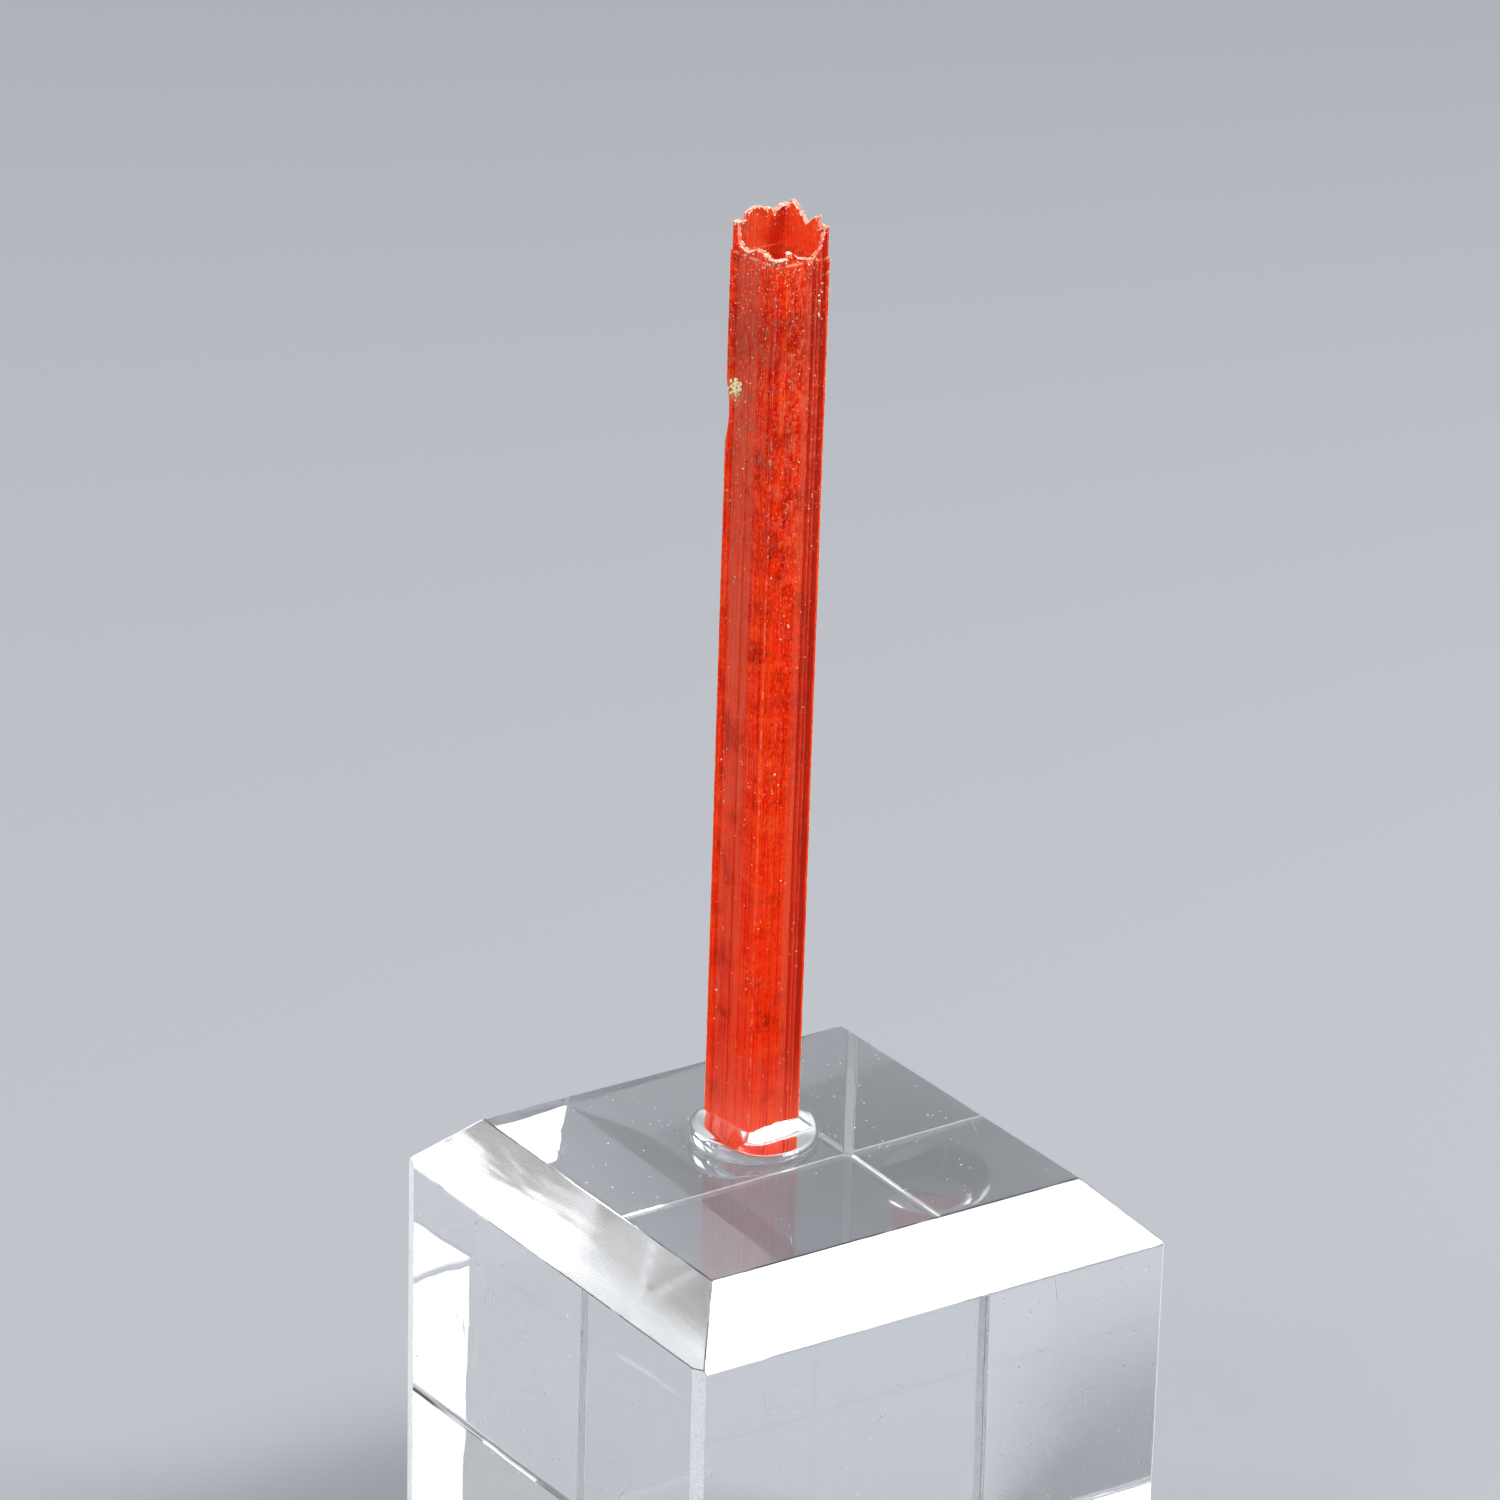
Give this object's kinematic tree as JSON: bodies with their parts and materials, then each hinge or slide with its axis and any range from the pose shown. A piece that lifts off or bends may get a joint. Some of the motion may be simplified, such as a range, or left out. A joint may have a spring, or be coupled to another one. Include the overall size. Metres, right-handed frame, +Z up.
{
  "type": "crocoite crystal on acrylic block",
  "caption": "Slender orange-red crocoite prism with a hollow torn tip, standing in a clear adhesive bead on a bevelled clear acrylic display block.",
  "frame": {"origin": "centre of the acrylic block's underside", "axes": "+Z up along the crystal, -Y out of the block's front face, -X out of its left face, both faces square to each other"},
  "size_m": [0.0254, 0.0254, 0.0692],
  "materials": {
    "crocoite": "translucent orange-red, adamantine to resinous, striated lengthwise",
    "adhesive": "clear, glossy, set as a rounded drop",
    "acrylic": "clear polished acrylic with finely scraped corner edges"
  },
  "bodies": {
    "root": {"crystal": "crocoite", "adhesive_bead": "adhesive", "acrylic_block": "acrylic"}
  },
  "joints": []
}
